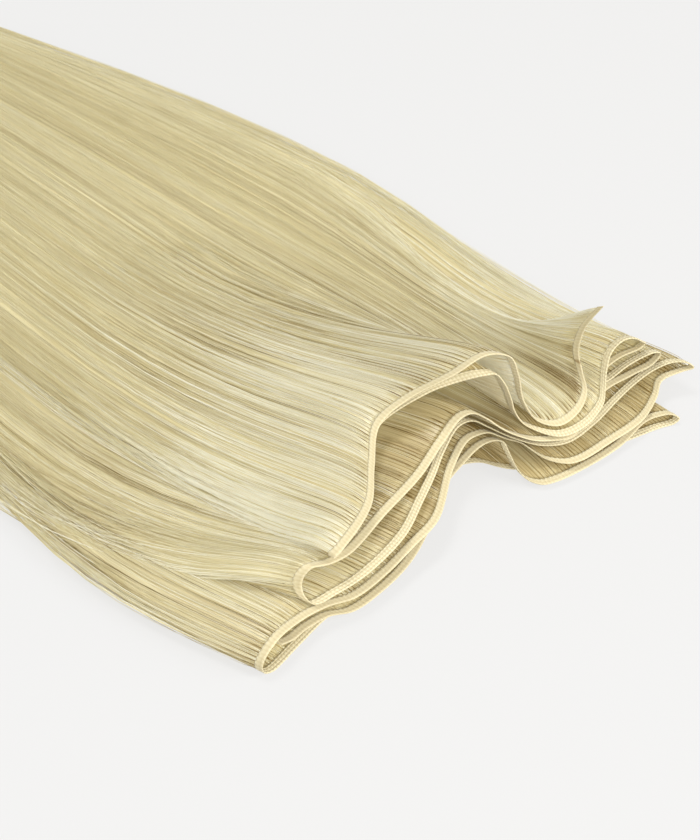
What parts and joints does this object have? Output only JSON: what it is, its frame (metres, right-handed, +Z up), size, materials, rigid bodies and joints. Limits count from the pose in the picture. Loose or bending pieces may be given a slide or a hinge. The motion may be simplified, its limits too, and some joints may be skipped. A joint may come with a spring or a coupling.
{
  "type": "hair weft",
  "caption": "Folded weft of straight pale-blond hair: a thin sewn band laid to and fro in wavy runs, with long hair lying flat behind it.",
  "frame": {"origin": "on the resting surface, under the middle of the bundle's bounding box", "axes": "+Z up from the surface, +Y along the hair from the sewn band to the tips, +X along the band"},
  "size_m": [0.195, 0.4528, 0.0441],
  "materials": {
    "hair": "satin, pale blond",
    "band": "matt sewn thread, cream"
  },
  "bodies": {
    "root": {"hair_run_a": "hair", "hair_run_b": "hair", "hair_run_c": "hair", "hair_run_d": "hair", "hair_run_e": "hair", "hair_run_f": "hair", "hair_run_g": "hair", "hair_run_h": "hair", "hair_run_i": "hair", "weft_band": "band"}
  },
  "joints": []
}
